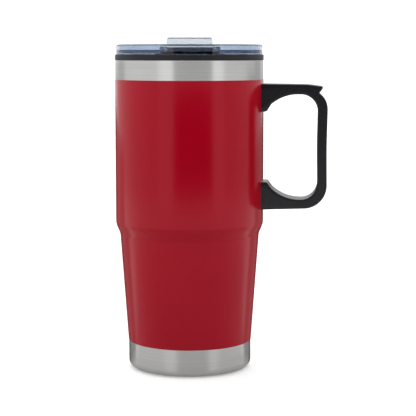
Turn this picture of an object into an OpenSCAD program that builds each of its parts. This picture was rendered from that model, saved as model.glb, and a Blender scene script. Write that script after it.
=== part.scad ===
// Insulated travel mug with a fixed side handle and a clear push-on lid with a sliding closure.
// The mug stands on z = 0 with its axis on Z. The handle points to +X and the drinker's side is -Y.
// The round lid can sit at any turn in the mouth, so its turn is a variable.

/* [Vacuum wall] */
// Overall height of the steel, from the base ring to the rim
rim_z = 188.2; // [180:0.2:200]
// Outer radius of the coated upper body
body_r = 45.05; // [44.5:0.05:47]
// Outer radius of the bare steel band at the base
base_r = 37.55; // [36:0.05:38]
// Height where the tapered lower body meets the shoulder
shoulder_z = 83.2; // [70:0.2:95]
// Radius where the tapered lower body meets the shoulder
shoulder_r = 42.3; // [41.5:0.1:43]
// Height of the shoulder's cone
shoulder_h = 5.9; // [5:0.1:12]
// Thickness of the outer wall
shell_t = 0.6; // [0.4:0.1:1]
// Thickness of the inner wall
liner_t = 0.5; // [0.4:0.1:0.8]
// Width of the evacuated gap between the walls
gap_w = 2.55; // [2:0.05:3.5]
// Rounding of the outside bottom corner
corner_r = 5; // [3:0.5:6]

/* [Powder coat] */
// Thickness of the coat
coat_t = 0.2; // [0.1:0.05:0.4]
// Lower edge of the coat
coat_low = 17.2; // [14:0.2:30]
// Upper edge of the coat
coat_high = 176.6; // [170:0.2:178]

/* [Handle] */
// Reach of the grip's outer face from the mug's axis
grip_x = 83.9; // [80:0.1:95]
// Thickness of the grip
grip_t = 6; // [5:0.5:8]
// Half the handle's width
handle_half_w = 9.75; // [9:0.05:12]
// Top of the upper arm
handle_top = 174.2; // [174:0.2:175]
// Underside of the lower arm
handle_bottom = 98.4; // [96:0.2:99]
// Thickness of the arms at their thinnest
arm_t = 6.0; // [5.5:0.1:6.5]
// Rounding of the grip's outer edges
handle_edge = 0.8; // [0.5:0.1:2]

/* [Lid] */
// Turn of the lid in the mouth, measured from the side square to the handle
lid_turn = 6; // [-45:1:45]
// Top of the lid's wall
lid_top = 197.6; // [196:0.2:199]
// Outer radius of the lid's wall
lid_r = 44.3; // [44:0.1:44.5]
// Thickness of the lid's wall and floor
lid_t = 2; // [1.6:0.1:2.4]
// Depth of the skirt inside the mug
skirt_h = 12; // [10:0.5:14]
// Half the width of the drink opening
drink_half_w = 10; // [6:0.5:11]

/* [Slider] */
// Half the width of the slider
slider_half_w = 14.3; // [13.5:0.1:14.5]
// Length of the slider
slider_l = 28.3; // [28:0.1:30]
// Travel of the slider from closed to open
slider_travel = 16; // [12:0.5:16]
// Top of the thumb tab
tab_top = 201.7; // [200:0.1:203]

/* [Hidden] */
$fn = 96;
arc_step = 9;
e = 0.01;
far = 200;

// walls
shell_r = body_r - coat_t;
shoulder_top = shoulder_z + shoulder_h;
taper_low = 16.8;
shell_in_r = shell_r - shell_t;
liner_r = shell_in_r - gap_w;
mouth_r = liner_r - liner_t;
lip_h = 3;
flare_h = 3.2;
liner_bottom = 8;
foot_in_r = 29.5;
plate_z = 2.6;
dimple_z = 4.4;
dimple_r = 5.2;
getter_x = 16;

// handle
arm_root = 40;
grip_in = grip_x - grip_t;
gap_top = handle_top - 0.3 - arm_t;
gap_low = handle_bottom + 0.4 + arm_t;
root_cut = 42.2;
root_slope = 49;
root_arc = 24.5;
upper_knee_x = 54.8;
lower_knee_x = 55.9;
nose_h = 10.4;
nose_r = 1.2;
tip_x = 81.5;
notch_x = 78.6;

// brackets and their screws
foot_t = 1.5;
foot_half_w = 7;
foot_h = 12;
tongue_t = 1.6;
tongue_half_w = 6;
tongue_end = 59;
screw_x = 53.5;
screw_r = 1.7;
thread_r = 1.75;
head_r = 3;
head_h = 1.8;
head_room = 0.2;
ledge_h = 1.4;
fit_gap = 0.15;
upper_tongue = 170.2;
lower_tongue = 103.7;

// lid
flange_h = 1.8;
lid_floor = rim_z + flange_h + lid_t;
gasket_top = rim_z + 3.3;
gasket_r = 45;
ledge_r = 43.2;
skirt_r = mouth_r - 1.6;
skirt_low = rim_z - skirt_h;
sleeve_t = 0.7;
fin_r = mouth_r - 0.3;
drink_back = -25.5;
drink_front = -34.5;
vent_y = 33;
vent_r = 1.2;
rail_in = slider_half_w + 0.35;
rail_t = 2.6;
rail_top = 196;
rib_in = slider_half_w - 0.85;
rib_low = 193.6;
rib_h = 0.9;
side_floor = 194.3;
side_in = rail_in + rail_t - 0.6;

// slider
slider_front = -37.4;
slider_back = slider_front + slider_l;
slider_low = lid_floor + 0.3;
cap_low = 195.6;
cap_top = 197;
seal_low = lid_floor + 0.15;
seal_top = slider_low + 0.9;
groove_in = rib_in - 0.35;
stop_h = 1;
stop_t = 1.6;

// Points of an outline whose corners are [x, y, radius]. A radius becomes an arc of chords, each
// turning by at most arc_step degrees.
function unit(v) = v / norm(v);
function turn(a, b, c) = let (u = unit(a - b), w = unit(c - b)) acos(max(-1, min(1, u * w)));
function corner(a, b, c, r) =
    let (u = unit(a - b), w = unit(c - b), half = turn(a, b, c) / 2)
    let (centre = b + unit(u + w) * r / sin(half), back = r / tan(half))
    let (start = b + u * back, stop = b + w * back)
    let (a0 = atan2(start[1] - centre[1], start[0] - centre[0]))
    let (a1 = atan2(stop[1] - centre[1], stop[0] - centre[0]))
    let (sweep = a1 - a0 > 180 ? a1 - a0 - 360 : a1 - a0 < -180 ? a1 - a0 + 360 : a1 - a0)
    let (steps = max(2, ceil(abs(sweep) / arc_step)))
    [for (i = [0:steps]) centre + r * [cos(a0 + sweep * i / steps), sin(a0 + sweep * i / steps)]];
function xy(p) = [p[0], p[1]];
function rounded(pts) = [
    for (i = [0:len(pts) - 1])
        let (p = pts[i], n = len(pts), r = len(p) > 2 ? p[2] : 0)
        let (before = xy(pts[(i + n - 1) % n]), after = xy(pts[(i + 1) % n]))
        each r > 0 ? corner(before, xy(p), after, r) : [xy(p)]
];

// Everything inside a wall of revolution: the area from the axis out to the wall, shifted in by `in`.
module inside_outer_wall(in) {
    polygon(rounded([
        [0, in], [base_r - in, in, corner_r - in], [base_r - in, taper_low, 20],
        [shoulder_r - in, shoulder_z, 8], [shell_r - in, shoulder_top, 10 - in],
        [shell_r - in, rim_z + far], [0, rim_z + far]
    ]));
}

module inside_inner_wall(in, low) {
    pinch = shell_t + gap_w + in;
    lip_r = shell_in_r - in;
    polygon(rounded([
        [0, low], [base_r - pinch, low, 6 - in], [base_r - pinch, taper_low, 15],
        [shoulder_r - pinch, shoulder_z, 8], [shell_r - pinch, shoulder_top, 8],
        [shell_r - pinch, rim_z - lip_h - flare_h, 2], [lip_r, rim_z - lip_h, 2],
        [lip_r, rim_z + far], [0, rim_z + far]
    ]));
}

module below(z) {
    translate([0, -far]) square([far, far + z]);
}

module above(z) {
    translate([0, z]) square([far, far + rim_z]);
}

module outer_shell() {
    color("silver") rotate_extrude() difference() {
        intersection() {
            inside_outer_wall(0);
            below(rim_z);
        }
        inside_outer_wall(shell_t);
        square([foot_in_r, 2 * corner_r]);
    }
}

// The coat stands proud of the steel and leaves bare windows where the brackets are welded on.
module powder_coat() {
    color("firebrick") difference() {
        rotate_extrude() intersection() {
            difference() {
                inside_outer_wall(-coat_t);
                inside_outer_wall(0);
            }
            below(coat_high);
            above(coat_low);
        }
        bracket_window(upper_tongue - foot_h + 2);
        bracket_window(lower_tongue - 2);
    }
}

module bracket_window(low) {
    room = fit_gap;
    translate([shell_r / 2, -foot_half_w - room, low - room])
        cube([shell_r, 2 * (foot_half_w + room), foot_h + 2 * room]);
}

module inner_liner() {
    color("gainsboro") rotate_extrude() difference() {
        intersection() {
            inside_inner_wall(0, liner_bottom);
            below(rim_z);
        }
        inside_inner_wall(liner_t, liner_bottom + liner_t);
    }
}

// Dished bottom, welded inside the foot ring, with a dimple around the evacuation hole.
module base_plate() {
    t = shell_t;
    hole_r = 0.8;
    color("silver") rotate_extrude() polygon(rounded([
        [foot_in_r, 0], [foot_in_r, t], [28.9, t, 1], [26.2, plate_z + t, 1],
        [dimple_r + 1.5, plate_z + t, 0.5], [dimple_r + 0.6, dimple_z + t, 0.8], [hole_r, dimple_z + t],
        [hole_r, dimple_z], [dimple_r, dimple_z, 0.5], [dimple_r + 0.9, plate_z, 0.8],
        [25.8, plate_z, 1], [28.5, 0, 1]
    ]));
}

module seal_bead() {
    bead_r = 4;
    bead_h = 0.9;
    ball_r = (bead_r * bead_r + bead_h * bead_h) / (2 * bead_h);
    color("dimgray") intersection() {
        translate([0, 0, dimple_z - bead_h + ball_r]) sphere(ball_r);
        translate([0, 0, dimple_z - 2 * bead_h]) cylinder(r = dimple_r, h = 2 * bead_h);
    }
}

module getter() {
    color("slategray") translate([getter_x, 0, plate_z + shell_t]) {
        cylinder(r = 5, h = 0.4);
        cylinder(r = 3.8, h = 1.8);
    }
}

// A stamped bracket: a foot curved to the wall and a tapped tongue that the handle slides over.
module bracket(foot_low, tongue_z) {
    color("darkgray") difference() {
        union() {
            intersection() {
                difference() {
                    translate([0, 0, foot_low]) cylinder(r = shell_r + foot_t, h = foot_h);
                    translate([0, 0, foot_low - 1]) cylinder(r = shell_r, h = foot_h + 2);
                }
                translate([0, -foot_half_w, foot_low]) cube([far, 2 * foot_half_w, foot_h]);
            }
            difference() {
                translate([shell_r - 2, -tongue_half_w, tongue_z])
                    cube([tongue_end - shell_r + 2, 2 * tongue_half_w, tongue_t]);
                translate([0, 0, tongue_z - 1]) cylinder(r = shell_r, h = tongue_t + 2);
            }
        }
        translate([screw_x, 0, tongue_z - 1]) cylinder(r = thread_r, h = tongue_t + 2);
    }
}

module upper_bracket() {
    bracket(upper_tongue - foot_h + 2, upper_tongue);
}

module lower_bracket() {
    bracket(lower_tongue - 2, lower_tongue);
}

// Side view of the handle: a C with a thumb rest on its upper outer corner. Each arm ends on the body
// in a blunt nose, nose_h beyond the level of the finger gap's end.
module handle_side() {
    middle = (gap_top + gap_low) / 2;
    nose_l = nose_h / tan(root_slope);
    polygon(rounded([
        [root_cut, handle_top, 1], [72, handle_top - 0.4, 40], [tip_x, handle_top - 1.7, 0.9],
        [notch_x, handle_top - 5.6, 0.5], [grip_x, gap_top - 3.6, 11.5], [grip_x - 0.6, middle, 300],
        [grip_x - 0.1, handle_bottom + 1.3, 14], [root_cut, handle_bottom, 1],
        [root_cut, gap_low + nose_h], [lower_knee_x - nose_l, gap_low + nose_h, nose_r],
        [lower_knee_x, gap_low, root_arc], [grip_in, gap_low, 9.8], [grip_in - 0.5, middle, 300],
        [grip_in, gap_top, 10], [upper_knee_x, gap_top, root_arc],
        [upper_knee_x - nose_l, gap_top - nose_h, nose_r], [root_cut, gap_top - nose_h]
    ]));
}

module handle_plan() {
    polygon(rounded([
        [arm_root, handle_half_w], [grip_x + 0.1, handle_half_w, handle_edge],
        [grip_x + 0.1, -handle_half_w, handle_edge], [arm_root, -handle_half_w]
    ]));
}

module handle_blank() {
    intersection() {
        rotate([90, 0, 0]) linear_extrude(2 * handle_half_w + 2, center = true) handle_side();
        translate([0, 0, handle_bottom - 1]) linear_extrude(handle_top - handle_bottom + 2) handle_plan();
    }
}

module foot_pocket(foot_low) {
    room = fit_gap;
    translate([0, 0, foot_low - room]) intersection() {
        cylinder(r = shell_r + foot_t + room, h = foot_h + 2 * room);
        translate([0, -foot_half_w - room, 0]) cube([far, 2 * (foot_half_w + room), foot_h + 2 * room]);
    }
}

module tongue_pocket(tongue_z) {
    room = fit_gap;
    translate([shell_r - 2, -tongue_half_w - room, tongue_z - room])
        cube([tongue_end - shell_r + 2 + 2 * room, 2 * (tongue_half_w + room), tongue_t + 2 * room]);
}

module screw_way(tongue_z, low) {
    seat = tongue_z - fit_gap - ledge_h;
    translate([screw_x, 0, low]) cylinder(r = head_r + head_room, h = seat - low);
    translate([screw_x, 0, low]) cylinder(r = screw_r + head_room, h = tongue_z + tongue_t + 1.5 - low);
}

module handle() {
    color("#222327") difference() {
        handle_blank();
        translate([0, 0, handle_bottom - 5]) cylinder(r = body_r, h = handle_top - handle_bottom + 10);
        foot_pocket(upper_tongue - foot_h + 2);
        tongue_pocket(upper_tongue);
        screw_way(upper_tongue, gap_top - 10);
        foot_pocket(lower_tongue - 2);
        tongue_pocket(lower_tongue);
        screw_way(lower_tongue, handle_bottom - 2);
    }
}

// Pan-head screws driven upwards through the handle into the bracket tongues.
module handle_screws() {
    color("darkgray") for (tongue_z = [upper_tongue, lower_tongue]) {
        seat = tongue_z - fit_gap - ledge_h;
        translate([screw_x, 0, seat]) cylinder(r = screw_r, h = tongue_z + tongue_t + 1 - seat);
        translate([screw_x, 0, seat - head_h]) difference() {
            cylinder(r = head_r, h = head_h);
            translate([0, 0, -e]) cylinder(r = 1.1, h = 1, $fn = 6);
        }
    }
}

// Press-in plugs under the screw heads, trimmed to the handle's surface.
module screw_plugs() {
    color("#1c1d20") for (tongue_z = [upper_tongue, lower_tongue]) {
        top = tongue_z - fit_gap - ledge_h - head_h - 0.1;
        intersection() {
            translate([screw_x, 0, top - 6]) cylinder(r = head_r + head_room - 0.05, h = 6);
            rotate([90, 0, 0]) linear_extrude(4 * head_r, center = true) handle_side();
        }
    }
}

module slot_shape(x, front, back, r) {
    polygon(rounded([[-x, front, r], [x, front, r], [x, back, r], [-x, back, r]]));
}

module lid_profile() {
    polygon(rounded([
        [0, lid_floor], [lid_r - lid_t, lid_floor, 2], [lid_r - lid_t, lid_top, 0.8], [lid_r, lid_top, 1.1],
        [lid_r, gasket_top], [ledge_r, gasket_top], [ledge_r, lid_floor - lid_t],
        [skirt_r, lid_floor - lid_t], [skirt_r, skirt_low, 0.6], [skirt_r - lid_t, skirt_low, 0.6],
        [skirt_r - lid_t, lid_floor - lid_t, 1], [0, lid_floor - lid_t]
    ]));
}

// One guide rail with the rib that runs in the slider's groove.
module rail() {
    rail_half_l = 35.5;
    translate([rail_in, -rail_half_l, lid_floor - e])
        cube([rail_t, 2 * rail_half_l, rail_top - lid_floor + e]);
    translate([rib_in, -rail_half_l, rib_low]) cube([rail_in - rib_in + e, 2 * rail_half_l, rib_h]);
}

module lid_stops() {
    stop_half_w = 5;
    for (y = [slider_front - 0.35 - stop_t, slider_back + slider_travel + 0.35])
        translate([-stop_half_w, y, lid_floor - e]) cube([2 * stop_half_w, stop_t, stop_h + e]);
}

// The floor on both sides of the slider's channel is raised, and hollow underneath.
module beside_channel(r, inner, low, high) {
    intersection() {
        translate([0, 0, low]) cylinder(r = r, h = high - low);
        for (side = [0, 1]) mirror([side, 0, 0])
            translate([inner, -far / 2, low - 1]) cube([far, far, high - low + 2]);
    }
}

module lid_body() {
    color("lightsteelblue", 0.5) rotate([0, 0, lid_turn]) difference() {
        union() {
            rotate_extrude() lid_profile();
            rail();
            mirror([1, 0, 0]) rail();
            lid_stops();
            beside_channel(lid_r - lid_t + 0.2, side_in, lid_floor - 0.5, side_floor);
        }
        beside_channel(skirt_r - lid_t - 1, side_in + lid_t, lid_floor - lid_t - 1, side_floor - lid_t);
        translate([0, 0, skirt_low]) linear_extrude(skirt_h + 10)
            slot_shape(drink_half_w, drink_front, drink_back, 3);
        translate([0, vent_y, skirt_low]) cylinder(r = vent_r, h = skirt_h + 10);
    }
}

// Silicone ring: a flange on the rim, an upstand around the lid's ledge and a finned sleeve in the mouth.
module lid_gasket() {
    fin_half = 0.7;
    color("#222327") rotate_extrude() {
        polygon(rounded([
            [skirt_r, rim_z], [gasket_r, rim_z, 0.5], [gasket_r, gasket_top, 0.5], [ledge_r, gasket_top],
            [ledge_r, rim_z + flange_h], [skirt_r, rim_z + flange_h]
        ]));
        translate([skirt_r, skirt_low + 1.5]) square([sleeve_t, rim_z - skirt_low - 1.5 + e]);
        for (z = [skirt_low + 2.5, skirt_low + 5.5])
            polygon([
                [skirt_r + e, z - fin_half], [fin_r, z - 0.2], [fin_r, z + 0.2],
                [skirt_r + e, z + 2 * fin_half]
            ]);
    }
}

module slider_plan(in) {
    x = slider_half_w - in;
    polygon(rounded([
        [-x, slider_front + in, 2.5], [x, slider_front + in, 2.5],
        [x, slider_back - in, 2.5], [-x, slider_back - in, 2.5]
    ]));
}

module slider_carriage() {
    groove_room = 0.35;
    color("#2d3039") rotate([0, 0, lid_turn]) difference() {
        translate([0, 0, slider_low]) linear_extrude(cap_low - slider_low) slider_plan(0);
        for (side = [0, 1]) mirror([side, 0, 0])
            translate([groove_in, slider_front - 1, rib_low - groove_room])
                cube([far, slider_l + 2, rib_h + 2 * groove_room]);
        translate([0, 0, slider_low - 1]) linear_extrude(seal_top - slider_low + 1)
            slot_shape(drink_half_w + 1.5, drink_front - 1.4, drink_back + 1.5, 3);
    }
}

// Clear cover of the slider with an upright thumb tab.
module slider_cap() {
    tab_y = -13.4;
    tab_half_t = 1.2;
    tab_half_w = slider_half_w - 0.5;
    tab_foot = 0.5;
    color("aliceblue", 0.5) rotate([0, 0, lid_turn]) {
        translate([0, 0, cap_low]) linear_extrude(cap_top - cap_low) slider_plan(0.3);
        intersection() {
            rotate([90, 0, 90]) linear_extrude(2 * tab_half_w, center = true) polygon(rounded([
                [tab_y - 3.6, cap_top - 0.5], [tab_y - 3.6, cap_top], [tab_y - tab_half_t, cap_top, tab_foot],
                [tab_y - tab_half_t, tab_top, 0.8], [tab_y + tab_half_t, tab_top, 0.8],
                [tab_y + tab_half_t, cap_top, tab_foot], [tab_y + 3.6, cap_top], [tab_y + 3.6, cap_top - 0.5]
            ]));
            rotate([90, 0, 0]) linear_extrude(far, center = true) polygon(rounded([
                [-tab_half_w, cap_low], [tab_half_w, cap_low], [tab_half_w, tab_top, 1.8],
                [-tab_half_w, tab_top, 1.8]
            ]));
        }
    }
}

module slider_seal() {
    color("#3a3d44") rotate([0, 0, lid_turn]) translate([0, 0, seal_low]) linear_extrude(seal_top - seal_low)
        slot_shape(drink_half_w + 1.45, drink_front - 1.35, drink_back + 1.45, 3);
}

outer_shell();
powder_coat();
inner_liner();
base_plate();
seal_bead();
getter();
upper_bracket();
lower_bracket();
handle();
handle_screws();
screw_plugs();
lid_body();
lid_gasket();
slider_carriage();
slider_cap();
slider_seal();
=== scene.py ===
import math

import bmesh
import bpy
from mathutils import Matrix, Vector


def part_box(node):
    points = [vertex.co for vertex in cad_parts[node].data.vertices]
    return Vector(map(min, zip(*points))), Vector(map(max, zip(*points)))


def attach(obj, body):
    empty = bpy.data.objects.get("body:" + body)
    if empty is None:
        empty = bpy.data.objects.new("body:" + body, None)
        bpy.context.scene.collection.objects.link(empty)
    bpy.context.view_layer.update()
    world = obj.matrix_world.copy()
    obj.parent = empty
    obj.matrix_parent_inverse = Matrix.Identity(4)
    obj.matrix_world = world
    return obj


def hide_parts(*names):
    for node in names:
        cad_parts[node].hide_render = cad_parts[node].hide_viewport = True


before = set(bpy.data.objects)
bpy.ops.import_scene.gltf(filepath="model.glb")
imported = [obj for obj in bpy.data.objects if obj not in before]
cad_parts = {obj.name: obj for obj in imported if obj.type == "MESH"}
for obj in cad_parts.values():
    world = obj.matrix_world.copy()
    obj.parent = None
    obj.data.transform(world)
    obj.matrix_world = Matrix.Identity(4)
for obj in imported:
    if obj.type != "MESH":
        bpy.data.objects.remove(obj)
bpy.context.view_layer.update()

MM = 0.001
AROUND = 224  # segments in a full turn

def node_box(node):
    """The low and the high corner of a CAD node's box, in millimetres."""
    low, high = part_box(node)
    return [v / MM for v in low], [v / MM for v in high]


# the walls in millimetres: heights of edges come from the CAD's boxes, the rest repeats its sizes
RIM_Z = node_box("outer_shell")[1][2]
STEEL_R = 44.85
COAT_T = 0.2
COAT_LOW, COAT_HIGH = node_box("powder_coat")[0][2], node_box("powder_coat")[1][2]
SHELL_T = 0.6
LINER_T = 0.5
VACUUM_GAP = 2.55
BASE_R = 37.55
TAPER_LOW = 16.8
SHOULDER_R, SHOULDER_Z, SHOULDER_H = 42.3, 83.2, 5.9
CORNER_R = 5.0
FOOT_IN_R = 29.5
LINER_LOW = node_box("inner_liner")[0][2]
BODY_R = STEEL_R + COAT_T
MOUTH_R = STEEL_R - SHELL_T - VACUUM_GAP - LINER_T


# ---------------------------------------------------------------- outlines

def arc_corner(before, at, after, radius, chord_deg):
    """The points of an arc that touches both sides of a corner."""
    a, b, c = Vector(before), Vector(at), Vector(after)
    to_a, to_c = (a - b).normalized(), (c - b).normalized()
    half = to_a.angle(to_c) / 2
    centre = b + (to_a + to_c).normalized() * radius / math.sin(half)
    start = b + to_a * radius / math.tan(half) - centre
    stop = b + to_c * radius / math.tan(half) - centre
    a0 = math.atan2(start.y, start.x)
    sweep = (math.atan2(stop.y, stop.x) - a0 + math.pi) % (2 * math.pi) - math.pi
    steps = max(2, math.ceil(abs(math.degrees(sweep)) / chord_deg))
    return [(centre.x + radius * math.cos(a0 + sweep * i / steps),
             centre.y + radius * math.sin(a0 + sweep * i / steps)) for i in range(steps + 1)]


def rounded(points, closed=True, chord_deg=6):
    """An outline from corners (x, y) or (x, y, radius); a radius becomes an arc."""
    out = []
    for i, point in enumerate(points):
        at_end = not closed and i in (0, len(points) - 1)
        if len(point) > 2 and not at_end:
            out += arc_corner(points[i - 1][:2], point[:2], points[(i + 1) % len(points)][:2],
                              point[2], chord_deg)
        else:
            out.append(tuple(point[:2]))
    return out


def finished(mesh, sharp_deg=32):
    """Smooth shading, with hard edges where two faces meet at more than an angle."""
    mesh.shade_smooth()
    mesh.set_sharp_from_angle(angle=math.radians(sharp_deg))
    mesh.update()


def add_piece(name, bm, sharp_deg=32):
    """Turns a bmesh into a piece of the scene."""
    bmesh.ops.remove_doubles(bm, verts=bm.verts, dist=1e-7)
    bmesh.ops.recalc_face_normals(bm, faces=bm.faces)
    mesh = bpy.data.meshes.new(name)
    bm.to_mesh(mesh)
    bm.free()
    finished(mesh, sharp_deg)
    piece = bpy.data.objects.new(name, mesh)
    bpy.context.scene.collection.objects.link(piece)
    return piece


def lathe(name, outline, sharp_deg=32, around=AROUND):
    """A closed outline of (radius, z) in millimetres, turned round the mug's axis."""
    bm = bmesh.new()
    rings = []
    for r, z in outline:
        if r < 1e-6:
            rings.append([bm.verts.new((0, 0, z * MM))] * around)
            continue
        rings.append([bm.verts.new((r * MM * math.cos(2 * math.pi * k / around),
                                    r * MM * math.sin(2 * math.pi * k / around), z * MM))
                      for k in range(around)])
    for i in range(len(rings)):
        a, b = rings[i], rings[(i + 1) % len(rings)]
        for k in range(around):
            corners = []
            for vert in (a[k], a[(k + 1) % around], b[(k + 1) % around], b[k]):
                if vert not in corners:
                    corners.append(vert)
            if len(corners) > 2:
                bm.faces.new(corners)
    return add_piece(name, bm, sharp_deg)


def prism(name, outline, low, high, axis="z", sharp_deg=32):
    """A closed outline pushed along an axis; the outline's plane is xy, xz or yz."""
    def place(u, v, w):
        return {"z": (u, v, w), "y": (u, w, v), "x": (w, u, v)}[axis]
    bm = bmesh.new()
    ends = [[bm.verts.new([c * MM for c in place(u, v, w)]) for u, v in outline]
            for w in (low, high)]
    for end in ends:
        bm.faces.new(end)
    n = len(outline)
    for i in range(n):
        bm.faces.new((ends[0][i], ends[0][(i + 1) % n], ends[1][(i + 1) % n], ends[1][i]))
    return add_piece(name, bm, sharp_deg)


def apply_modifiers(piece):
    """Gives the piece the mesh that its modifiers make, and removes them."""
    graph = bpy.context.evaluated_depsgraph_get()
    mesh = bpy.data.meshes.new_from_object(piece.evaluated_get(graph))
    piece.modifiers.clear()
    old, piece.data = piece.data, mesh
    bpy.data.meshes.remove(old)


def combine(piece, others, operation):
    """Cuts the others out of the piece, or joins them to it, and removes them."""
    for other in others:
        mod = piece.modifiers.new(operation.lower(), "BOOLEAN")
        mod.operation = operation
        mod.solver = "EXACT"
        mod.object = other
    apply_modifiers(piece)
    for other in others:
        bpy.data.objects.remove(other)


def soften(piece, width, segments=3, angle_deg=35, sharp_deg=32):
    """Rounds the piece's sharp edges by a width in millimetres."""
    mod = piece.modifiers.new("edges", "BEVEL")
    mod.width = width * MM
    mod.segments = segments
    mod.limit_method = "ANGLE"
    mod.angle_limit = math.radians(angle_deg)
    mod.harden_normals = False
    apply_modifiers(piece)
    finished(piece.data, sharp_deg)


# ---------------------------------------------------------------- materials

def linear(rgb):
    """A colour given in 0..255 display values, as Blender's linear RGBA."""
    def one(c):
        c /= 255
        return c / 12.92 if c <= 0.04045 else ((c + 0.055) / 1.055) ** 2.4
    return (*[one(c) for c in rgb], 1.0)


def shifted(colour, step):
    """The colour with a step added to each display value."""
    return tuple(min(255, max(0, c + step)) for c in colour)


class Surface:
    """A procedural material around one Principled shader."""

    def __init__(self, name, colour, roughness, metallic=0.0, **sockets):
        self.material = bpy.data.materials.new(name)
        self.material.use_nodes = True
        self.tree = self.material.node_tree
        self.shader = self.tree.nodes["Principled BSDF"]
        self.shader.inputs["Base Color"].default_value = linear(colour)
        self.shader.inputs["Roughness"].default_value = roughness
        self.shader.inputs["Metallic"].default_value = metallic
        for socket, value in sockets.items():
            self.shader.inputs[socket.replace("_", " ")].default_value = value
        self.place = self.node("ShaderNodeTexCoord").outputs["Object"]

    def node(self, kind, **values):
        node = self.tree.nodes.new(kind)
        for key, value in values.items():
            if hasattr(node, key):
                setattr(node, key, value)
            else:
                node.inputs[key.replace("_", " ")].default_value = value
        return node

    def link(self, source, target):
        self.tree.links.new(source, target)

    def scaled(self, scale):
        mapping = self.node("ShaderNodeMapping")
        mapping.inputs["Scale"].default_value = scale
        self.link(self.place, mapping.inputs["Vector"])
        return mapping.outputs["Vector"]

    def noise(self, scale, detail=3.0, roughness=0.5, vector=None):
        """Noise whose grain is 1/scale of a metre along x, y and z."""
        if vector is None:
            vector = self.scaled(scale if hasattr(scale, "__len__") else (scale,) * 3)
        noise = self.node("ShaderNodeTexNoise", Scale=1.0, Detail=detail, Roughness=roughness)
        self.link(vector, noise.inputs["Vector"])
        return noise.outputs["Fac"]

    def ramp(self, value, low, high, from_low=0.3, from_high=0.7):
        """Maps a value, by default the middle of a noise's range, to low..high."""
        node = self.node("ShaderNodeMapRange", From_Min=from_low, From_Max=from_high,
                         To_Min=low, To_Max=high)
        self.link(value, node.inputs["Value"])
        return node.outputs["Result"]

    def tint(self, value, dark, light):
        mix = self.node("ShaderNodeMix", data_type="RGBA")
        mix.inputs[6].default_value = linear(dark)
        mix.inputs[7].default_value = linear(light)
        self.link(value, mix.inputs[0])
        self.link(mix.outputs[2], self.shader.inputs["Base Color"])

    def rough(self, value, low, high):
        self.link(self.ramp(value, low, high), self.shader.inputs["Roughness"])

    def bump(self, value, depth_mm, strength=1.0):
        bump = self.node("ShaderNodeBump", Strength=strength, Distance=depth_mm * MM)
        self.link(value, bump.inputs["Height"])
        if self.shader.inputs["Normal"].is_linked:
            self.link(self.shader.inputs["Normal"].links[0].from_socket, bump.inputs["Normal"])
        self.link(bump.outputs["Normal"], self.shader.inputs["Normal"])


def brushed_steel(name="steel_brushed", colour=(210, 210, 209), roughness=(0.27, 0.36)):
    """Stainless steel turned against a belt: fine lines around the mug."""
    s = Surface(name, colour, sum(roughness) / 2, metallic=1.0, Anisotropic=0.95,
                Anisotropic_Rotation=0.25)
    tangent = s.node("ShaderNodeTangent", direction_type="RADIAL", axis="Z")
    s.link(tangent.outputs["Tangent"], s.shader.inputs["Tangent"])
    lines = s.noise((28, 28, 5200), detail=4, roughness=0.7)
    broad = s.noise((12, 12, 1500), detail=3)
    s.rough(lines, *roughness)
    s.tint(s.ramp(broad, 0, 1), shifted(colour, -6), shifted(colour, 5))
    s.bump(lines, 0.004, 0.6)
    return s.material


def spun_steel(name="steel_spun", colour=(196, 195, 194)):
    """Pressed and spun sheet: rings around the axis and a faint drawing grain."""
    s = Surface(name, colour, 0.34, metallic=1.0)
    split = s.node("ShaderNodeSeparateXYZ")
    s.link(s.place, split.inputs[0])
    flat = s.node("ShaderNodeCombineXYZ")
    s.link(split.outputs["X"], flat.inputs["X"])
    s.link(split.outputs["Y"], flat.inputs["Y"])
    radius = s.node("ShaderNodeVectorMath", operation="LENGTH")
    s.link(flat.outputs[0], radius.inputs[0])
    rings = s.node("ShaderNodeCombineXYZ")
    s.link(radius.outputs["Value"], rings.inputs["X"])
    s.link(split.outputs["Z"], rings.inputs["Y"])
    stretched = s.node("ShaderNodeVectorMath", operation="SCALE", Scale=2600.0)
    s.link(rings.outputs[0], stretched.inputs[0])
    grain = s.noise(1, detail=3, vector=stretched.outputs[0])
    patches = s.noise(60, detail=2)
    s.rough(grain, 0.24, 0.42)
    s.tint(s.ramp(patches, 0, 1), shifted(colour, -14), shifted(colour, 8))
    s.bump(grain, 0.005, 0.5)
    return s.material


def powder_red():
    """Satin powder coat: a fine orange peel with a tighter grain on it."""
    s = Surface("coat_red", (160, 1, 25), 0.2, IOR=1.5, Specular_Tint=(1.0, 0.42, 0.48, 1.0))
    peel = s.noise(900, detail=2)
    grain = s.noise(3800, detail=2)
    cloud = s.noise(30, detail=2)
    s.tint(s.ramp(cloud, 0, 1), (158, 0, 24), (162, 2, 27))
    s.rough(grain, 0.17, 0.24)
    s.bump(peel, 0.012, 0.35)
    s.bump(grain, 0.006, 0.35)
    return s.material


def moulded_black(name, colour, roughness, grain_scale=2400, depth=0.008):
    """Injection-moulded plastic with a fine spark-eroded grain."""
    s = Surface(name, colour, roughness, IOR=1.43)
    grain = s.noise(grain_scale, detail=3, roughness=0.6)
    cloud = s.noise(45, detail=2)
    s.rough(grain, roughness - 0.05, roughness + 0.07)
    s.tint(s.ramp(cloud, 0, 1), shifted(colour, -4), shifted(colour, 4))
    s.bump(grain, depth, 0.4)
    return s.material


def silicone(name, colour):
    """Satin silicone rubber with a little dust on it."""
    s = Surface(name, colour, 0.48, IOR=1.42, Sheen_Weight=0.05, Sheen_Roughness=0.5)
    grain = s.noise(1500, detail=3)
    dust = s.noise(180, detail=4)
    s.rough(grain, 0.42, 0.56)
    s.tint(s.ramp(dust, 0, 1), shifted(colour, -4), shifted(colour, 8))
    s.bump(grain, 0.006, 0.3)
    return s.material


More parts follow.
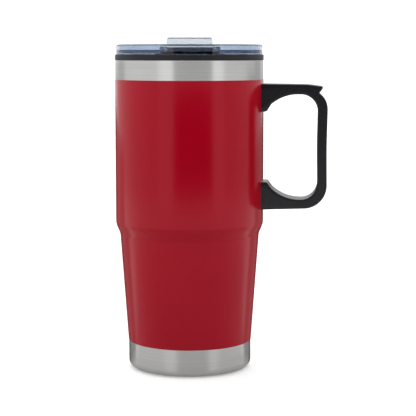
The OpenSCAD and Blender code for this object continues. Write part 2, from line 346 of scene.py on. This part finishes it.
def clear_plastic(name, colour, depth_colour=(1, 1, 1), density=0):
    """Clear plastic with faint flow and handling marks; a density darkens long ways through it."""
    s = Surface(name, colour, 0.03, IOR=1.5, Transmission_Weight=1.0)
    flow = s.noise((40, 40, 260), detail=2)
    marks = s.noise(700, detail=4, roughness=0.7)
    s.rough(marks, 0.015, 0.07)
    s.tint(s.ramp(flow, 0, 1), shifted(colour, -5), colour)
    s.bump(flow, 0.02, 0.25)
    if density:
        inside = s.node("ShaderNodeVolumeAbsorption", Density=density, Color=(*depth_colour, 1))
        s.link(inside.outputs["Volume"], s.tree.nodes["Material Output"].inputs["Volume"])
    return s.material


def plain_metal(name, colour, roughness):
    """Metal with an even grain, for small stamped or turned parts."""
    s = Surface(name, colour, roughness, metallic=1.0)
    grain = s.noise(1800, detail=3)
    patches = s.noise(120, detail=2)
    s.rough(grain, roughness - 0.08, roughness + 0.08)
    s.tint(s.ramp(patches, 0, 1), shifted(colour, -12), shifted(colour, 6))
    s.bump(grain, 0.004, 0.4)
    return s.material


STEEL = brushed_steel()
SPUN = spun_steel()
RED = powder_red()
BLACK = moulded_black("handle_plastic", (16, 17, 22), 0.28)
DARK = moulded_black("carriage_plastic", (66, 71, 82), 0.34, grain_scale=1800)
GASKET = silicone("gasket_silicone", (9, 11, 17))
SEAL = silicone("seal_silicone", (70, 72, 78))
CLEAR = clear_plastic("lid_clear", (200, 211, 224), depth_colour=(0.05, 0.13, 0.31), density=34)
CAP = clear_plastic("cap_clear", (251, 248, 243))
BRACKET = plain_metal("bracket_steel", (170, 170, 172), 0.4)
SCREW = plain_metal("screw_steel", (186, 186, 188), 0.3)
GETTER = plain_metal("getter_metal", (110, 112, 116), 0.55)
BEAD = moulded_black("bead_glass", (46, 48, 50), 0.2, grain_scale=900)


def finish_piece(piece, material, body, nodes):
    """Puts the piece on its body, in place of CAD nodes, with a material."""
    piece.data.materials.clear()
    piece.data.materials.append(material)
    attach(piece, body)
    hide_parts(*nodes)


def keep_node(node, material):
    """A CAD node whose shape is right keeps its mesh and gets a better material."""
    for slot in bpy.data.objects[node].material_slots:
        slot.material = material


# ---------------------------------------------------------------- steel walls

def wall_outline(inset, low=0.0, high=RIM_Z):
    """The outer wall's side from the foot ring up to a height, moved inwards by the inset."""
    return [(BASE_R - inset, low, CORNER_R - inset), (BASE_R - inset, TAPER_LOW, 20),
            (SHOULDER_R - inset, SHOULDER_Z, 8),
            (STEEL_R - inset, SHOULDER_Z + SHOULDER_H, 10 - inset), (STEEL_R - inset, high)]


def make_outer_shell():
    outer = rounded([(FOOT_IN_R, 0.0)] + wall_outline(0), closed=False, chord_deg=4)
    inner = rounded([(FOOT_IN_R, SHELL_T)] + wall_outline(SHELL_T, SHELL_T), closed=False)
    lip_r = 0.22
    top = outer.pop()
    inner_top = inner.pop()
    rim = rounded([outer[-1], (top[0], RIM_Z, lip_r), (inner_top[0], RIM_Z), inner[-1]],
                  closed=False, chord_deg=15)[1:-1]
    piece = lathe("shell_wall", outer + rim + inner[::-1])
    finish_piece(piece, STEEL, "mug", ["outer_shell"])


def clipped(side, low, high):
    """The part of a rising (radius, z) line between two heights."""
    def at(z):
        for (r0, z0), (r1, z1) in zip(side, side[1:]):
            if z0 <= z <= z1:
                return (r0 + (r1 - r0) * (z - z0) / max(z1 - z0, 1e-9), z)
        return side[-1]
    return [at(low)] + [p for p in side if low + 1e-6 < p[1] < high - 1e-6] + [at(high)]


def make_coat():
    """The coat as a film on the steel wall, with its two outer edges rounded off."""
    def side(inset):
        line = rounded([(FOOT_IN_R, inset)] + wall_outline(inset, inset), closed=False, chord_deg=4)
        return clipped(line, COAT_LOW, COAT_HIGH)
    outer, inner = side(-COAT_T), side(0)
    edge = 0.12
    low, high = outer[0], outer[-1]
    outer[0] = (low[0], low[1] + edge)
    outer[-1] = (high[0], high[1] - edge)
    ends = ([(low[0] - edge * 0.3, low[1] + edge * 0.3), (low[0] - edge, low[1])],
            [(high[0] - edge * 0.3, high[1] - edge * 0.3), (high[0] - edge, high[1])])
    piece = lathe("coat_film", ends[0][::-1] + outer + ends[1] + inner[::-1], sharp_deg=60)
    finish_piece(piece, RED, "mug", ["powder_coat"])


def liner_outline(inset, low):
    """The liner's side from its middle up to the rim, moved inwards by the inset."""
    pinch = SHELL_T + VACUUM_GAP + inset
    lip_h, flare_h = 3.0, 3.2
    lip_r = STEEL_R - SHELL_T - inset
    return rounded([
        (0.0, low), (BASE_R - pinch, low, 6 - inset), (BASE_R - pinch, TAPER_LOW, 15),
        (SHOULDER_R - pinch, SHOULDER_Z, 8), (STEEL_R - pinch, SHOULDER_Z + SHOULDER_H, 8),
        (STEEL_R - pinch, RIM_Z - lip_h - flare_h, 2), (lip_r, RIM_Z - lip_h, 2), (lip_r, RIM_Z)
    ], closed=False)


def make_liner():
    outer = liner_outline(0, LINER_LOW)
    inner = liner_outline(LINER_T, LINER_LOW + LINER_T)
    lip_r = 0.2
    rim = rounded([outer[-2], outer[-1], (inner[-1][0], RIM_Z, lip_r), inner[-2]], closed=False,
                  chord_deg=15)[1:-1]
    piece = lathe("liner_wall", outer[:-1] + rim + inner[:-1][::-1])
    finish_piece(piece, SPUN, "mug", ["inner_liner"])


def make_base_plate():
    """The dished bottom plate, with the glass bead in its dimple."""
    plate_z, dimple_z, dimple_r, hole_r = 2.6, 4.4, 5.2, 0.8
    step_out_r, step_in_r, step_back = 28.9, 26.2, 0.4
    t = SHELL_T
    outline = rounded([
        (FOOT_IN_R, 0.0), (FOOT_IN_R, t), (step_out_r, t, 1), (step_in_r, plate_z + t, 1),
        (dimple_r + 1.5, plate_z + t, 0.5), (dimple_r + 0.6, dimple_z + t, 0.8),
        (hole_r, dimple_z + t), (hole_r, dimple_z), (dimple_r, dimple_z, 0.5),
        (dimple_r + 0.9, plate_z, 0.8), (step_in_r - step_back, plate_z, 1),
        (step_out_r - step_back, 0.0, 1)
    ])
    piece = lathe("bottom_plate", outline)
    finish_piece(piece, SPUN, "mug", ["base_plate"])
    bead_r, bead_h = 4.0, 0.9
    ball_r = (bead_r ** 2 + bead_h ** 2) / (2 * bead_h)
    steps = 14
    dome = [(bead_r * i / steps, dimple_z - bead_h + ball_r
             - math.sqrt(ball_r ** 2 - (bead_r * i / steps) ** 2)) for i in range(steps + 1)]
    bead = lathe("glass_bead", dome + [(0.0, dimple_z)], around=64)
    finish_piece(bead, BEAD, "mug", ["seal_bead"])


# ---------------------------------------------------------------- handle

HANDLE_TOP, HANDLE_LOW = 174.2, 98.4
GRIP_X, GRIP_T = 83.9, 6.0
GRIP_IN = GRIP_X - GRIP_T
GAP_TOP, GAP_LOW = 167.9, 104.8
ROOT_X, UPPER_KNEE_X, LOWER_KNEE_X = 42.2, 54.8, 55.9
NOSE_H = 10.4
NOSE_L = NOSE_H / math.tan(math.radians(49))
HANDLE_HALF_W = 9.75
HANDLE_EDGE = 0.6


def evenly(line, spacing):
    """The same line with no step longer than the spacing."""
    out = [line[0]]
    for a, b in zip(line, line[1:]):
        steps = max(1, math.ceil(math.dist(a, b) / spacing))
        out += [(a[0] + (b[0] - a[0]) * i / steps, a[1] + (b[1] - a[1]) * i / steps)
                for i in range(1, steps + 1)]
    return out


def lengths(line):
    """The way from the line's start to each of its points."""
    total = [0.0]
    for a, b in zip(line, line[1:]):
        total.append(total[-1] + math.dist(a, b))
    return total


def normals(line):
    """Unit normals on the left of each point of an open line."""
    out = []
    for i in range(len(line)):
        a, b = line[max(0, i - 1)], line[min(len(line) - 1, i + 1)]
        d = math.dist(a, b)
        out.append((-(b[1] - a[1]) / d, (b[0] - a[0]) / d))
    return out


def at_length(line, total, s):
    """The point that is a way s along the line."""
    for i in range(len(total) - 1):
        if s <= total[i + 1]:
            f = (s - total[i]) / max(total[i + 1] - total[i], 1e-9)
            return tuple(line[i][k] + (line[i + 1][k] - line[i][k]) * f for k in (0, 1))
    return line[-1]


def nearest_length(line, total, point):
    return total[min(range(len(line)), key=lambda i: math.dist(line[i], point))]


def handle_lines():
    """The outer and the inner line of the C, both from the upper root to the lower root."""
    middle = (GAP_TOP + GAP_LOW) / 2
    nose_r, root_arc = 1.2, 24.5
    outer = rounded([
        (ROOT_X, HANDLE_TOP), (72, HANDLE_TOP - 0.4, 40), (81.5, HANDLE_TOP - 1.7, 0.9),
        (78.6, HANDLE_TOP - 5.6, 0.5), (GRIP_X, GAP_TOP - 3.6, 11.5), (GRIP_X - 0.6, middle, 300),
        (GRIP_X - 0.1, HANDLE_LOW + 1.3, 14), (ROOT_X, HANDLE_LOW)
    ], closed=False, chord_deg=5)
    inner = rounded([
        (ROOT_X, GAP_TOP - NOSE_H), (UPPER_KNEE_X - NOSE_L, GAP_TOP - NOSE_H, nose_r),
        (UPPER_KNEE_X, GAP_TOP, root_arc), (GRIP_IN, GAP_TOP, 10), (GRIP_IN - 0.5, middle, 300),
        (GRIP_IN, GAP_LOW, 9.8), (LOWER_KNEE_X, GAP_LOW, root_arc),
        (LOWER_KNEE_X - NOSE_L, GAP_LOW + NOSE_H, nose_r), (ROOT_X, GAP_LOW + NOSE_H)
    ], closed=False, chord_deg=5)
    return evenly(outer, 0.8), inner


def handle_rings():
    """For each cross-section of the strap, a point and a normal on both of its lines."""
    outer, inner = handle_lines()
    middle = (GAP_TOP + GAP_LOW) / 2
    fine = evenly(inner, 0.1)
    outer_total, inner_total = lengths(outer), lengths(fine)
    # pairs of places that face each other across the strap
    anchors = [((ROOT_X, HANDLE_TOP), fine[0]), ((46, HANDLE_TOP), (45.8, GAP_TOP - NOSE_H)),
               ((53, HANDLE_TOP), (51, 162.5)), ((64.5, HANDLE_TOP), (64.5, GAP_TOP)),
               ((81.2, 166.2), (74.3, 165.0)), ((GRIP_X, 158), (GRIP_IN, 157.5)),
               ((GRIP_X, middle), (GRIP_IN, middle)), ((GRIP_X, 114), (GRIP_IN, 114)),
               ((79.5, 103.6), (74.5, 107.4)), ((66, HANDLE_LOW + 0.8), (66, GAP_LOW)),
               ((52, HANDLE_LOW), (52, 110.1)), ((46, HANDLE_LOW), (46, GAP_LOW + NOSE_H)),
               ((ROOT_X, HANDLE_LOW), fine[-1])]
    marks = [(nearest_length(outer, outer_total, a), nearest_length(fine, inner_total, b))
             for a, b in anchors]
    pairs = []
    for point, s in zip(outer, outer_total):
        for (s0, t0), (s1, t1) in zip(marks, marks[1:]):
            if s <= s1 + 1e-9:
                t = t0 + (t1 - t0) * (s - s0) / (s1 - s0)
                break
        pairs.append((point, t))
    fine_normals = normals(fine)
    rings = []
    for (point, t), out_normal in zip(pairs, normals(outer)):
        k = min(range(len(fine)), key=lambda i: abs(inner_total[i] - t))
        rings.append((point, out_normal, at_length(fine, inner_total, t), fine_normals[k]))
    return rings


def ring_points(outer_at, outer_n, inner_at, inner_n):
    """One closed cross-section as (x, z, y): outer face, side, inner face and the other side."""
    edge, arc_steps, side_steps, face_steps = HANDLE_EDGE, 5, 5, 8
    half = []  # from the middle of the outer face to the middle of the inner face, on +y
    for i in range(face_steps):
        half.append((outer_at, 0.0, "share", i / face_steps))
    for i in range(arc_steps + 1):
        a = math.radians(90) * i / arc_steps
        p = tuple(outer_at[k] - outer_n[k] * edge * (1 - math.cos(a)) for k in (0, 1))
        half.append((p, edge * (1 - math.sin(a)), "edge", None))
    a_in = tuple(outer_at[k] - outer_n[k] * edge for k in (0, 1))
    b_in = tuple(inner_at[k] + inner_n[k] * edge for k in (0, 1))
    for i in range(1, side_steps):
        p = tuple(a_in[k] + (b_in[k] - a_in[k]) * i / side_steps for k in (0, 1))
        half.append((p, 0.0, "edge", None))
    for i in range(arc_steps, -1, -1):
        a = math.radians(90) * i / arc_steps
        p = tuple(inner_at[k] + inner_n[k] * edge * (1 - math.cos(a)) for k in (0, 1))
        half.append((p, edge * (1 - math.sin(a)), "edge", None))
    for i in range(face_steps - 1, 0, -1):
        half.append((inner_at, 0.0, "share", i / face_steps))
    half.append((inner_at, 0.0, "share", 0.0))
    side = []
    for p, inset, kind, share in half:
        y = (HANDLE_HALF_W - edge) * share if kind == "share" else HANDLE_HALF_W - inset
        side.append((p[0], p[1], y))
    return side + [(x, z, -y) for x, z, y in side[-2:0:-1]]


def make_handle():
    """The strap, its roots bent to the round wall, with two recesses for the screws."""
    into_wall, blend_x = 0.1, 50.0
    bm = bmesh.new()
    rings = []
    for outer_at, outer_n, inner_at, inner_n in handle_rings():
        ring = []
        for x, z, y in ring_points(outer_at, outer_n, inner_at, inner_n):
            wall_x = math.sqrt(BODY_R ** 2 - y ** 2) - into_wall
            if x < blend_x:
                x = wall_x + (max(x, ROOT_X) - ROOT_X) * (blend_x - wall_x) / (blend_x - ROOT_X)
            ring.append(bm.verts.new((x * MM, y * MM, z * MM)))
        rings.append(ring)
    n = len(rings[0])
    for a, b in zip(rings, rings[1:]):
        for k in range(n):
            bm.faces.new((a[k], a[(k + 1) % n], b[(k + 1) % n], b[k]))
    bm.faces.new(rings[0])
    bm.faces.new(rings[-1][::-1])
    piece = add_piece("handle_strap", bm, sharp_deg=50)
    cuts = []
    screw_x, recess_r = 53.5, 3.2
    seats = [node_box("handle_screws")[0][2] + 1.8, node_box("handle_screws")[1][2] - 4.15]
    for index, (seat, start) in enumerate(zip(seats, (HANDLE_LOW - 3, GAP_TOP - 12))):
        circle = [(screw_x + recess_r * math.cos(2 * math.pi * k / 64),
                   recess_r * math.sin(2 * math.pi * k / 64)) for k in range(64)]
        cuts.append(prism(f"recess_{index}", circle, start, seat))
    combine(piece, cuts, "DIFFERENCE")
    finished(piece.data, 50)
    finish_piece(piece, BLACK, "mug", ["handle"])


# ---------------------------------------------------------------- lid

LID_TOP = node_box("lid_body")[1][2]
LID_R, LID_T = 44.3, 2.0
FLANGE_H = 1.8
LID_FLOOR = RIM_Z + FLANGE_H + LID_T
GASKET_TOP = node_box("lid_gasket")[1][2]
GASKET_R, LEDGE_R = 45.0, 43.2
SKIRT_R = MOUTH_R - 1.6
SKIRT_LOW = node_box("lid_body")[0][2]
SLIDER_LOW, SLIDER_TOP = node_box("slider_carriage")[0][2], node_box("slider_carriage")[1][2]
SLIDER_FRONT, SLIDER_BACK, SLIDER_HALF_W = -37.4, -9.1, 14.3
SLIDE_ROOM = 0.35
RIB_LOW, RIB_H = 193.6, 0.9  # the ribs on the rails, which hold the slider down
SEAL_ROOM_HALF_W, SEAL_ROOM_FRONT, SEAL_ROOM_BACK = 11.5, -35.9, -24.0
TAB_TOP = node_box("slider_cap")[1][2]
TRAVEL = 16.0
LID_TURN = 6  # degrees about the mug's axis
SIDE_FLOOR = 194.3  # the raised floors beside the channel


def turn_with_lid(piece):
    piece.data.transform(Matrix.Rotation(math.radians(LID_TURN), 4, "Z"))


def rounded_box(x, front, back, r, chord_deg=8):
    return rounded([(-x, front, r), (x, front, r), (x, back, r), (-x, back, r)], chord_deg=chord_deg)


def beside_channel(name, side, r, inner, low, high):
    """A block on one side of the slider's channel, bounded by the lid's round wall."""
    reach = math.degrees(math.acos(inner / r))
    steps = 48
    outline = [(side * r * math.cos(math.radians(a)), r * math.sin(math.radians(a)))
               for a in (-reach + 2 * reach * i / steps for i in range(steps + 1))]
    return prism(name, outline, low, high)


def make_lid():
    """The clear lid: a turned cup with rails, stops and raised floors, and two openings cut in it."""
    profile = rounded([
        (0.0, LID_FLOOR), (LID_R - LID_T, LID_FLOOR, 2), (LID_R - LID_T, LID_TOP, 0.8),
        (LID_R, LID_TOP, 1.1), (LID_R, GASKET_TOP, 0.25), (LEDGE_R, GASKET_TOP),
        (LEDGE_R, LID_FLOOR - LID_T),
        (SKIRT_R, LID_FLOOR - LID_T), (SKIRT_R, SKIRT_LOW, 0.6), (SKIRT_R - LID_T, SKIRT_LOW, 0.6),
        (SKIRT_R - LID_T, LID_FLOOR - LID_T, 1), (0.0, LID_FLOOR - LID_T)
    ])
    piece = lathe("lid_shell", profile)
    rail_in, rail_t, rail_top, rail_half_l = SLIDER_HALF_W + SLIDE_ROOM, 2.6, 196.0, 35.5
    rib_in = SLIDER_HALF_W - 0.85
    side_in = rail_in + rail_t - 0.6
    sunk = 0.4
    rail = [(rail_in, LID_FLOOR - sunk), (rail_in + rail_t, LID_FLOOR - sunk),
            (rail_in + rail_t, rail_top, 0.5), (rail_in, rail_top, 0.4), (rail_in, RIB_LOW + RIB_H),
            (rib_in, RIB_LOW + RIB_H, 0.25), (rib_in, RIB_LOW, 0.25), (rail_in, RIB_LOW)]
    joined = []
    for side in (1, -1):
        outline = [(x * side, z) for x, z in rounded(rail, chord_deg=15)]
        joined.append(prism(f"rail_{side}", outline, -rail_half_l, rail_half_l, axis="y"))
    stop_t, stop_h, stop_half_w = 1.6, 1.0, 5
    stops_y = (SLIDER_FRONT - SLIDE_ROOM - stop_t, SLIDER_BACK + TRAVEL + SLIDE_ROOM)
    for index, y in enumerate(stops_y):
        stop_top = LID_FLOOR + stop_h
        outline = rounded([(y, LID_FLOOR - sunk), (y + stop_t, LID_FLOOR - sunk),
                           (y + stop_t, stop_top, 0.4), (y, stop_top, 0.4)], chord_deg=15)
        joined.append(prism(f"stop_{index}", outline, -stop_half_w, stop_half_w, axis="x"))
    hollows = []
    for side in (1, -1):
        joined.append(beside_channel(f"side_floor_{side}", side, LID_R - LID_T + 0.2, side_in,
                                     LID_FLOOR - 0.5, SIDE_FLOOR))
        hollows.append(beside_channel(f"hollow_{side}", side, SKIRT_R - LID_T - 1, side_in + LID_T,
                                      LID_FLOOR - LID_T - 1, SIDE_FLOOR - LID_T))
    combine(piece, joined, "UNION")
    combine(piece, hollows, "DIFFERENCE")
    opening_half_w, opening_front, opening_back = 10, -34.5, -25.5
    vent_r, vent_y, vent_sides = 1.2, 33, 32
    opening = prism("opening", rounded_box(opening_half_w, opening_front, opening_back, 3),
                    SKIRT_LOW, LID_FLOOR + 2)
    circle = [(vent_r * math.cos(2 * math.pi * k / vent_sides),
               vent_y + vent_r * math.sin(2 * math.pi * k / vent_sides)) for k in range(vent_sides)]
    vent = prism("vent", circle, SKIRT_LOW, LID_FLOOR + 2)
    combine(piece, [opening, vent], "DIFFERENCE")
    finished(piece.data, 32)
    turn_with_lid(piece)
    finish_piece(piece, CLEAR, "lid", ["lid_body"])


def make_gasket():
    sleeve_low = SKIRT_LOW + 1.5
    sleeve_r = SKIRT_R + 0.7
    fin_r = MOUTH_R - 0.3
    fins = []
    for z in (SKIRT_LOW + 5.5, SKIRT_LOW + 2.5):
        fins += [(sleeve_r, z + 1.0, 0.3), (fin_r, z + 0.3, 0.15), (fin_r, z - 0.3, 0.15),
                 (sleeve_r, z - 0.7, 0.2)]
    outline = rounded([
        (SKIRT_R, sleeve_low), (SKIRT_R, RIM_Z + FLANGE_H), (LEDGE_R, RIM_Z + FLANGE_H),
        (LEDGE_R, GASKET_TOP), (GASKET_R, GASKET_TOP, 0.5), (GASKET_R, RIM_Z, 0.5), (sleeve_r, RIM_Z, 0.6)
    ] + fins + [(sleeve_r, sleeve_low, 0.3)], chord_deg=12)
    piece = lathe("gasket_ring", outline)
    finish_piece(piece, GASKET, "lid", ["lid_gasket"])


# ---------------------------------------------------------------- slider

def slider_plan(inset, r=2.5):
    """The slider's outline from above, drawn in by the inset."""
    return rounded_box(SLIDER_HALF_W - inset, SLIDER_FRONT + inset, SLIDER_BACK - inset, r)


def make_carriage():
    """The slider's block, grooved for the rails' ribs and hollowed underneath for the seal."""
    groove_in = SLIDER_HALF_W - 1.2
    piece = prism("slider_block", slider_plan(0), SLIDER_LOW, SLIDER_TOP)
    cuts = []
    for side in (1, -1):
        outline = rounded_box(4, SLIDER_FRONT - 1, SLIDER_BACK + 1, 0.1)
        outline = [(side * (groove_in + 4) + x, y) for x, y in outline]
        cuts.append(prism(f"groove_{side}", outline, RIB_LOW - SLIDE_ROOM,
                          RIB_LOW + RIB_H + SLIDE_ROOM))
    seal_room = rounded_box(SEAL_ROOM_HALF_W, SEAL_ROOM_FRONT, SEAL_ROOM_BACK, 3)
    cuts.append(prism("seal_room", seal_room, SLIDER_LOW - 1, SLIDER_LOW + 0.9))
    combine(piece, cuts, "DIFFERENCE")
    soften(piece, 0.25)
    turn_with_lid(piece)
    finish_piece(piece, DARK, "slider", ["slider_carriage"])


def make_cap():
    """The slider's clear cover, with the thumb tab standing across it on a spread foot."""
    low, top = node_box("slider_cap")[0][2], 197.0
    tab_y, half_t, half_w, foot_half_t = -13.4, 1.2, SLIDER_HALF_W - 0.5, 3.6
    piece = prism("slider_cover", slider_plan(0.3), low, top)
    tab = rounded([
        (tab_y - foot_half_t, top - 0.5), (tab_y - foot_half_t, top), (tab_y - half_t, top, 0.5),
        (tab_y - half_t, TAB_TOP, 0.8), (tab_y + half_t, TAB_TOP, 0.8),
        (tab_y + half_t, top, 0.5), (tab_y + foot_half_t, top), (tab_y + foot_half_t, top - 0.5)
    ], chord_deg=10)
    thumb = prism("thumb", tab, -half_w, half_w, axis="x")
    front = rounded([(-half_w, low), (half_w, low), (half_w, TAB_TOP, 1.8), (-half_w, TAB_TOP, 1.8)],
                    chord_deg=10)
    trim = prism("trim", front, tab_y - 8, tab_y + 8, axis="y")
    combine(thumb, [trim], "INTERSECT")
    combine(piece, [thumb], "UNION")
    soften(piece, 0.2, segments=2)
    turn_with_lid(piece)
    finish_piece(piece, CAP, "slider", ["slider_cap"])


def make_seal():
    """The pad that closes the drink opening, a little smaller than its room in the block."""
    low, high = node_box("slider_seal")[0][2], node_box("slider_seal")[1][2]
    gap = 0.05
    outline = rounded_box(SEAL_ROOM_HALF_W - gap, SEAL_ROOM_FRONT + gap, SEAL_ROOM_BACK - gap, 3)
    piece = prism("seal_pad", outline, low, high)
    soften(piece, 0.2, segments=2)
    turn_with_lid(piece)
    finish_piece(piece, SEAL, "slider", ["slider_seal"])


make_outer_shell()
make_coat()
make_liner()
make_base_plate()
make_handle()
make_lid()
make_gasket()
make_carriage()
make_cap()
make_seal()
for kept, material in (("getter", GETTER), ("upper_bracket", BRACKET), ("lower_bracket", BRACKET),
                       ("handle_screws", SCREW), ("screw_plugs", BLACK)):
    keep_node(kept, material)


# ---------------------------------------------------------------- stage, light and camera

CAMERA_TURN = 5.4  # degrees that the camera stands round towards the handle
LOW_AIR, HIGH_AIR = 1.08, 1.0  # the air's strength below and above the level of the table


def studio_paper():
    """White paper that glows a little."""
    s = Surface("studio_paper", (248, 248, 248), 0.75, Emission_Color=(1, 1, 1, 1),
                Emission_Strength=0.2)
    fibre = s.noise(220, detail=3)
    s.tint(s.ramp(fibre, 0, 1), (246, 246, 246), (250, 250, 250))
    s.bump(fibre, 0.01, 0.1)
    # clear from underneath, so that the mug's foot can be looked at
    clear = s.node("ShaderNodeBsdfTransparent")
    mix = s.node("ShaderNodeMixShader")
    s.link(s.node("ShaderNodeNewGeometry").outputs["Backfacing"], mix.inputs[0])
    s.link(s.shader.outputs[0], mix.inputs[1])
    s.link(clear.outputs[0], mix.inputs[2])
    s.link(mix.outputs[0], s.tree.nodes["Material Output"].inputs["Surface"])
    return s.material


def make_stage():
    """A sheet of paper that lies flat and bends up behind the mug, in metres."""
    half_w, front, back, height, bend = 3.0, -2.6, 1.6, 3.2, 0.8
    line = [(front, 0.0)]
    for a in range(0, 91, 5):
        turn = math.radians(a)
        line.append((back - bend + bend * math.sin(turn), bend - bend * math.cos(turn)))
    line.append((back, height))
    bm = bmesh.new()
    rows = [[bm.verts.new((x, y, z)) for x in (-half_w, half_w)] for y, z in line]
    for a, b in zip(rows, rows[1:]):
        bm.faces.new((a[0], a[1], b[1], b[0]))
    floor = add_piece("studio_floor", bm)
    floor.data.flip_normals()
    floor.data.materials.append(studio_paper())
    # the white paper is for the camera; the mug is lit by the cards and the air
    floor.visible_glossy = False
    floor.visible_diffuse = False
    floor.visible_shadow = False


def add_card(name, corners, grey, diffuse=False):
    """A flat studio card that the mug mirrors and the camera doesn't see."""
    bm = bmesh.new()
    bm.faces.new([bm.verts.new(corner) for corner in corners])
    card = add_piece(name, bm)
    paint = Surface(name, (grey, grey, grey), 0.9, Specular_IOR_Level=0.0)
    card.data.materials.append(paint.material)
    card.visible_camera = False
    card.visible_shadow = False
    card.visible_transmission = False
    card.visible_diffuse = diffuse


def round_mug(azimuth, distance, height):
    """A place seen from the mug's axis; azimuth 0 is the camera's side."""
    a = math.radians(azimuth + CAMERA_TURN)
    return (distance * math.sin(a), -distance * math.cos(a), height)


def upright_card(name, azimuths, distance, low, high, grey, diffuse=False):
    """A card across a stretch of azimuths; a diffuse one also counts for matt surfaces."""
    middle = sum(azimuths) / 2
    left, right = [round_mug(a, distance / math.cos(math.radians(a - middle)), 0) for a in azimuths]
    add_card(name, [(left[0], left[1], low), (right[0], right[1], low),
                    (right[0], right[1], high), (left[0], left[1], high)], grey, diffuse)


def add_light(name, place, aim, size, radiance, glossy=True):
    """An area light; one that isn't glossy leaves no reflection."""
    data = bpy.data.lights.new(name, "AREA")
    data.shape = "RECTANGLE"
    data.size, data.size_y = size
    data.energy = radiance * math.pi * size[0] * size[1]
    light = bpy.data.objects.new(name, data)
    light.location = place
    light.rotation_euler = (Vector(aim) - Vector(place)).to_track_quat("-Z", "Y").to_euler()
    light.visible_glossy = glossy
    bpy.context.scene.collection.objects.link(light)


def make_air():
    """White air all round, a little brighter from below the table's level than from above it."""
    world = bpy.data.worlds.new("studio_air")
    world.use_nodes = True
    tree = world.node_tree
    background = tree.nodes["Background"]
    place = tree.nodes.new("ShaderNodeTexCoord")
    split = tree.nodes.new("ShaderNodeSeparateXYZ")
    level = tree.nodes.new("ShaderNodeMapRange")
    level.inputs["From Min"].default_value = -0.04
    level.inputs["From Max"].default_value = 0.02
    level.inputs["To Min"].default_value = LOW_AIR
    level.inputs["To Max"].default_value = HIGH_AIR
    tree.links.new(place.outputs["Generated"], split.inputs[0])
    tree.links.new(split.outputs["Z"], level.inputs["Value"])
    tree.links.new(level.outputs["Result"], background.inputs["Strength"])
    background.inputs["Color"].default_value = (1.0, 1.0, 1.0, 1.0)
    bpy.context.scene.world = world


def make_lights():
    """Strips at both sides, a light overhead, and cards for the mug to mirror; all in metres."""
    strip_out, strip_up, strip_size, strip_aim = 1.3, 0.55, (0.5, 1.0), (0, 0, 0.12)
    for name, azimuth, radiance in (("strip_left", -72, 0.75), ("strip_right", 72, 0.6)):
        add_light(name, round_mug(azimuth, strip_out, strip_up), strip_aim, strip_size, radiance,
                  glossy=False)
    add_light("top_light", round_mug(180, 0.3, 2.0), (0, 0, 0.1), (1.6, 1.6), 2.0)
    upright_card("camera_gap", (-24, 35), 1.1, 0.04, 0.6, 12, diffuse=True)
    back_out, back_low, back_high = 1.25, -0.6, 0.165
    for name, azimuths, grey in (("back_card", (150, 210), 70),
                                 ("back_card_left", (-150, -120), 135),
                                 ("back_card_right", (120, 150), 135)):
        upright_card(name, azimuths, back_out, back_low, back_high, grey)
    side_out, side_high = 1.3, 1.6
    upright_card("left_card", (-145, -48), side_out, 0.0, side_high, 208)
    upright_card("right_card", (54, 145), side_out, 0.0, side_high, 195)
    # in front of the mug, but not under its foot
    table_in_r, table_out_r, table_z = 0.0335, 0.35, -0.002
    front_half = [round_mug(a, table_out_r, table_z) for a in range(-100, 101, 5)]
    front_half += [round_mug(a, table_in_r, table_z) for a in range(100, -101, -5)]
    add_card("table_card", front_half, 190, diffuse=True)
    make_air()


def make_camera():
    """The camera, which looks down and a little to the right of the mug's axis."""
    distance, height = 0.8175, 0.1935
    look_down, look_right = 6.665, 0.790
    sensor_width, focal_length = 36.0, 116.1
    data = bpy.data.cameras.new("camera")
    data.sensor_width = sensor_width
    data.lens = focal_length
    data.clip_start, data.clip_end = 0.05, 20
    camera = bpy.data.objects.new("camera", data)
    camera.location = round_mug(0, distance, height)
    camera.rotation_euler = (math.radians(90 - look_down), 0, math.radians(CAMERA_TURN - look_right))
    bpy.context.scene.collection.objects.link(camera)
    bpy.context.scene.camera = camera


make_stage()
make_lights()
make_camera()
bpy.context.scene.view_settings.view_transform = "Standard"
bpy.context.scene.view_settings.look = "None"
